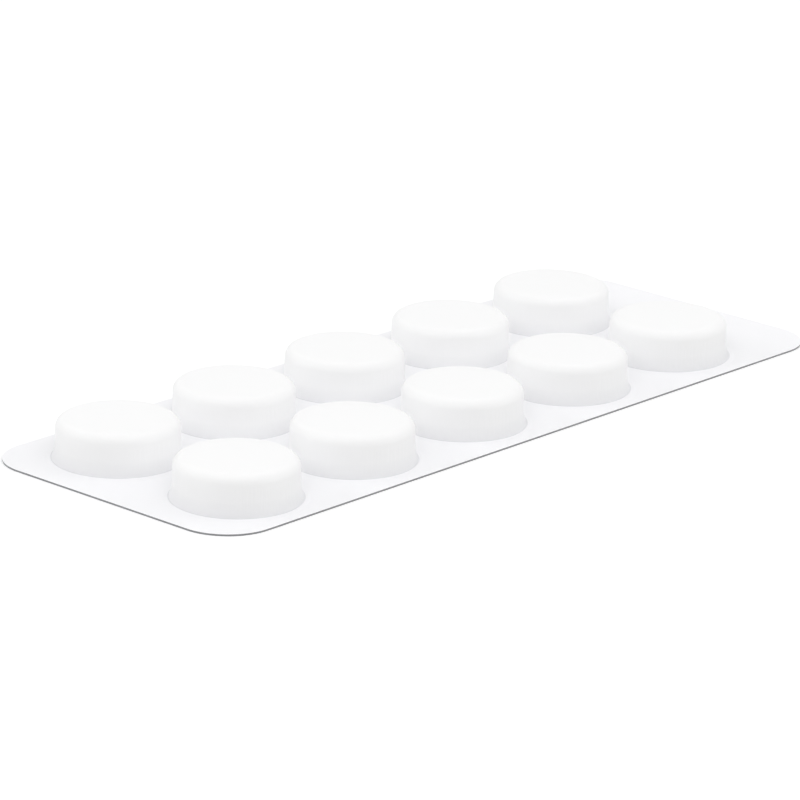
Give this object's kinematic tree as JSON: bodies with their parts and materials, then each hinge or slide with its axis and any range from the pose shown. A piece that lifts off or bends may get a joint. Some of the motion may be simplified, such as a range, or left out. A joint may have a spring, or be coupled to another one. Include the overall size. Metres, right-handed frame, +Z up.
{
  "type": "blister pack of tablets",
  "caption": "Opaque white blister strip with two rows of round, flat-topped tablet pockets, closed underneath by an aluminium lidding foil.",
  "frame": {"origin": "middle of the strip's flat underside, on the surface that it lies on", "axes": "+X along the strip towards the end with the wide margin, +Y across the rows, +Z up through the pockets"},
  "size_m": [0.1116, 0.042, 0.0054],
  "materials": {
    "white_film": "opaque white thermoformed film, soft satin gloss",
    "aluminium_foil": "bright hard-rolled foil with a fine knurled seal pattern"
  },
  "bodies": {
    "root": {"formed_film": "white_film", "lidding_foil": "aluminium_foil"}
  },
  "joints": []
}
